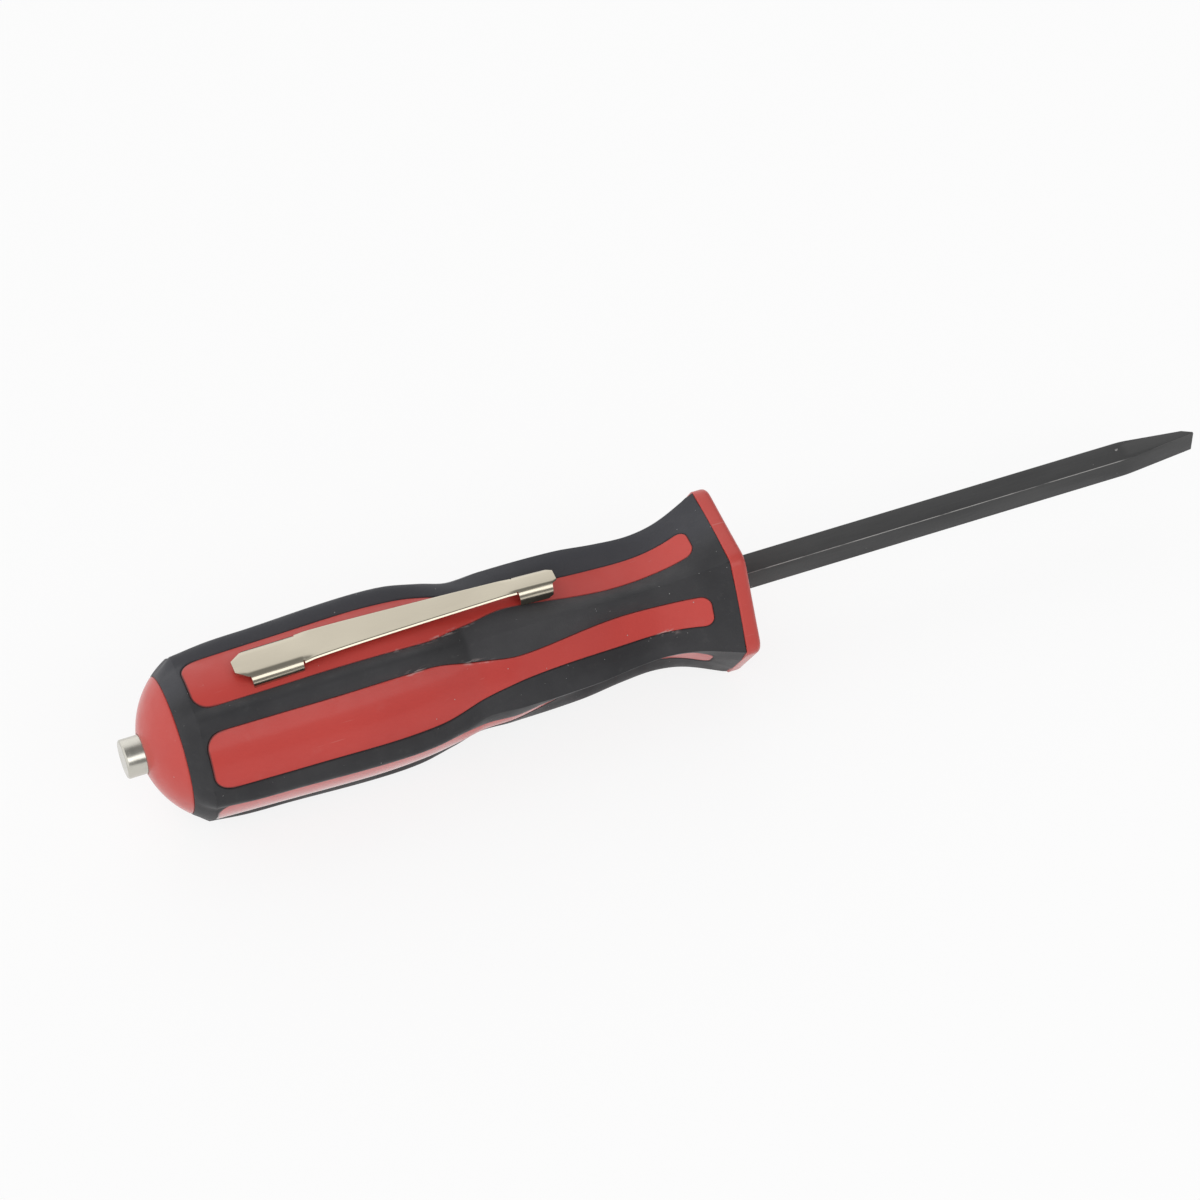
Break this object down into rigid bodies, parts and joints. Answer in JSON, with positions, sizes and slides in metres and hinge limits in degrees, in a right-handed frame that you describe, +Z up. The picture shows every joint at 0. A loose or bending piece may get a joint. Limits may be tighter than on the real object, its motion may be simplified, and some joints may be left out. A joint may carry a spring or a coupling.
{
  "type": "pocket pry bar",
  "caption": "Small pry bar: square black chisel bar in a lobed two-colour handle, with a spring pocket clip on top and a magnet in the tail.",
  "frame": {"origin": "centre of the bounding box at its base, under the grip just behind the flange", "axes": "+X along the bar towards its chisel tip, +Z up out of the pocket clip, +Y to the left when looking towards the tip"},
  "size_m": [0.1838, 0.0312, 0.0286],
  "materials": {
    "black_oxide_steel": "black oxide, satin, bright at worn edges",
    "red_plastic": "moulded, satin",
    "black_rubber": "moulded thermoplastic rubber, matte",
    "nickel_plate": "satin nickel plate on spring steel",
    "bright_nickel": "bright nickel plate"
  },
  "bodies": {
    "handle": {"pry_bar": "black_oxide_steel", "handle_core": "red_plastic", "grip_sleeve": "black_rubber", "tail_magnet": "bright_nickel"},
    "clip": {"pocket_clip": "nickel_plate"}
  },
  "joints": [
    {"name": "clip_flex", "type": "hinge", "parent": "handle", "child": "clip", "pos_m": [-0.07076, 0, 0.02686], "axis": [0, -1, 0], "range_deg": [0, 5], "stiffness_Nm_per_rad": 2}
  ]
}
